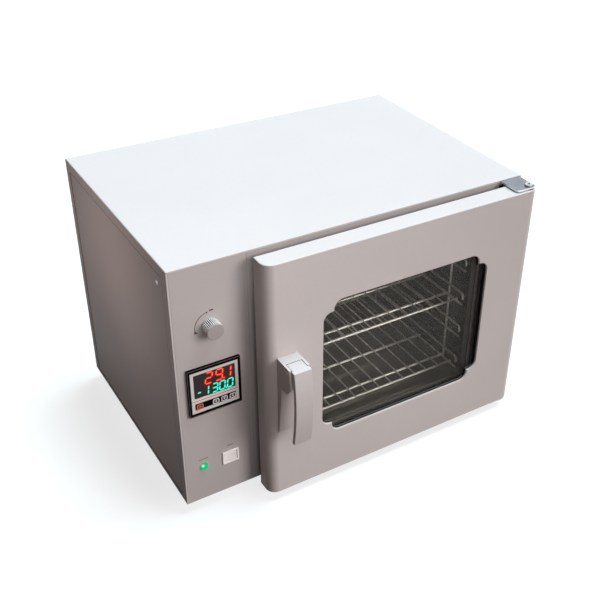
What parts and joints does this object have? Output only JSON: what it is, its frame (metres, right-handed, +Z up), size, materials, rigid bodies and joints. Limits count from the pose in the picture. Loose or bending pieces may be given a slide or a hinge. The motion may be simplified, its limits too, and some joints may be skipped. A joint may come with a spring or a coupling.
{
  "type": "drying oven",
  "caption": "Bench forced-air drying oven: sheet-metal cabinet with a control column at its left and a glazed door hinged at its right, and wire shelves inside.",
  "frame": {"origin": "under the middle of the whole object at rest, door shut, on the surface that the feet stand on", "axes": "+X to the right and +Y to the back, seen from the front, +Z up"},
  "size_m": [0.58, 0.4836, 0.4204],
  "materials": {
    "grey_paint": "satin",
    "stainless": "polished",
    "bright_wire": "polished",
    "zinc_plate": "satin",
    "brass": "satin",
    "black_plastic": "matt",
    "grey_plastic": "matt",
    "white_plastic": "gloss",
    "dark_lens": "gloss",
    "green_lens": "gloss",
    "glass": "clear",
    "black_rubber": "matt",
    "silicone": "matt",
    "mineral_wool": "matt"
  },
  "bodies": {
    "root": {"cabinet_shell": "grey_paint", "service_panel": "grey_paint", "control_panel": "grey_paint", "front_frame": "grey_paint", "base_tray": "zinc_plate", "back_panel": "grey_paint", "chamber_liner": "stainless", "duct_baffle": "stainless", "insulation_jacket": "mineral_wool", "heater_element": "zinc_plate", "fan_motor": "zinc_plate", "motor_bracket": "zinc_plate", "temperature_probe": "stainless", "exhaust_pipe": "stainless", "exhaust_cap": "black_plastic", "mains_inlet": "black_plastic", "left_rack": "bright_wire", "right_rack": "bright_wire", "upper_hinge_plate": "zinc_plate", "lower_hinge_plate": "zinc_plate", "upper_pivot_bolt": "zinc_plate", "lower_pivot_bolt": "zinc_plate", "strike_pocket": "zinc_plate", "controller_case": "black_plastic", "controller_face": "grey_plastic", "display_window": "dark_lens", "speed_control": "zinc_plate", "lamp_lens": "green_lens", "lamp_body": "black_plastic", "switch_housing": "white_plastic", "heater_relay": "black_plastic", "terminal_block": "white_plastic", "foot_front_left": "black_rubber", "foot_front_right": "black_rubber", "foot_rear_left": "black_rubber", "foot_rear_right": "black_rubber"},
    "door": {"door_skin": "grey_paint", "door_inner_panel": "grey_paint", "outer_glass": "glass", "inner_glass": "glass", "window_gasket": "black_rubber", "glass_frame": "zinc_plate", "door_insulation": "mineral_wool", "door_seal": "silicone", "handle_block": "grey_paint", "lever_pin": "zinc_plate", "upper_hinge_bush": "brass", "lower_hinge_bush": "brass"},
    "lever": {"pull_lever": "grey_paint"},
    "knob": {"speed_knob": "grey_plastic", "knob_spindle": "brass"},
    "rocker": {"switch_rocker": "white_plastic"},
    "fan": {"fan_wheel": "stainless", "motor_shaft": "zinc_plate"},
    "shelf_low": {"lower_shelf": "bright_wire"},
    "shelf_high": {"upper_shelf": "bright_wire"},
    "key_1": {"controller_key_1": "grey_plastic"},
    "key_2": {"controller_key_2": "grey_plastic"},
    "key_3": {"controller_key_3": "grey_plastic"},
    "key_4": {"controller_key_4": "grey_plastic"}
  },
  "joints": [
    {"name": "door_swing", "type": "hinge", "parent": "root", "child": "door", "pos_m": [0.276, -0.18255, 0.21475], "axis": [0, 0, 1], "range_deg": [0, 115]},
    {"name": "lever_pull", "type": "hinge", "parent": "door", "child": "lever", "pos_m": [-0.1445, -0.22155, 0.26], "axis": [-1, 0, 0], "range_deg": [0, 16], "stiffness_Nm_per_rad": 2, "springref_deg": -6.88},
    {"name": "knob_turn", "type": "hinge", "parent": "root", "child": "knob", "pos_m": [-0.2355, -0.14955, 0.321], "axis": [0, -1, 0], "range_deg": [-270, 0]},
    {"name": "rocker_tilt", "type": "hinge", "parent": "root", "child": "rocker", "pos_m": [-0.2173, -0.14655, 0.0828], "axis": [0, 0, 1], "range_deg": [0, 20]},
    {"name": "fan_spin", "type": "hinge", "parent": "root", "child": "fan", "pos_m": [-0.1115, 0.00045, 0.205], "axis": [1, 0, 0], "continuous": true},
    {"name": "lower_shelf_slide", "type": "slide", "parent": "root", "child": "shelf_low", "axis": [0, -1, 0], "range_m": [0, 0.027]},
    {"name": "upper_shelf_slide", "type": "slide", "parent": "root", "child": "shelf_high", "axis": [0, -1, 0], "range_m": [0, 0.027]},
    {"name": "key_1_press", "type": "slide", "parent": "root", "child": "key_1", "axis": [0, 1, 0], "range_m": [0, 0.0008], "stiffness_N_per_m": 400, "springref_m": -0.001},
    {"name": "key_2_press", "type": "slide", "parent": "root", "child": "key_2", "axis": [0, 1, 0], "range_m": [0, 0.0008], "stiffness_N_per_m": 400, "springref_m": -0.001},
    {"name": "key_3_press", "type": "slide", "parent": "root", "child": "key_3", "axis": [0, 1, 0], "range_m": [0, 0.0008], "stiffness_N_per_m": 400, "springref_m": -0.001},
    {"name": "key_4_press", "type": "slide", "parent": "root", "child": "key_4", "axis": [0, 1, 0], "range_m": [0, 0.0008], "stiffness_N_per_m": 400, "springref_m": -0.001}
  ]
}
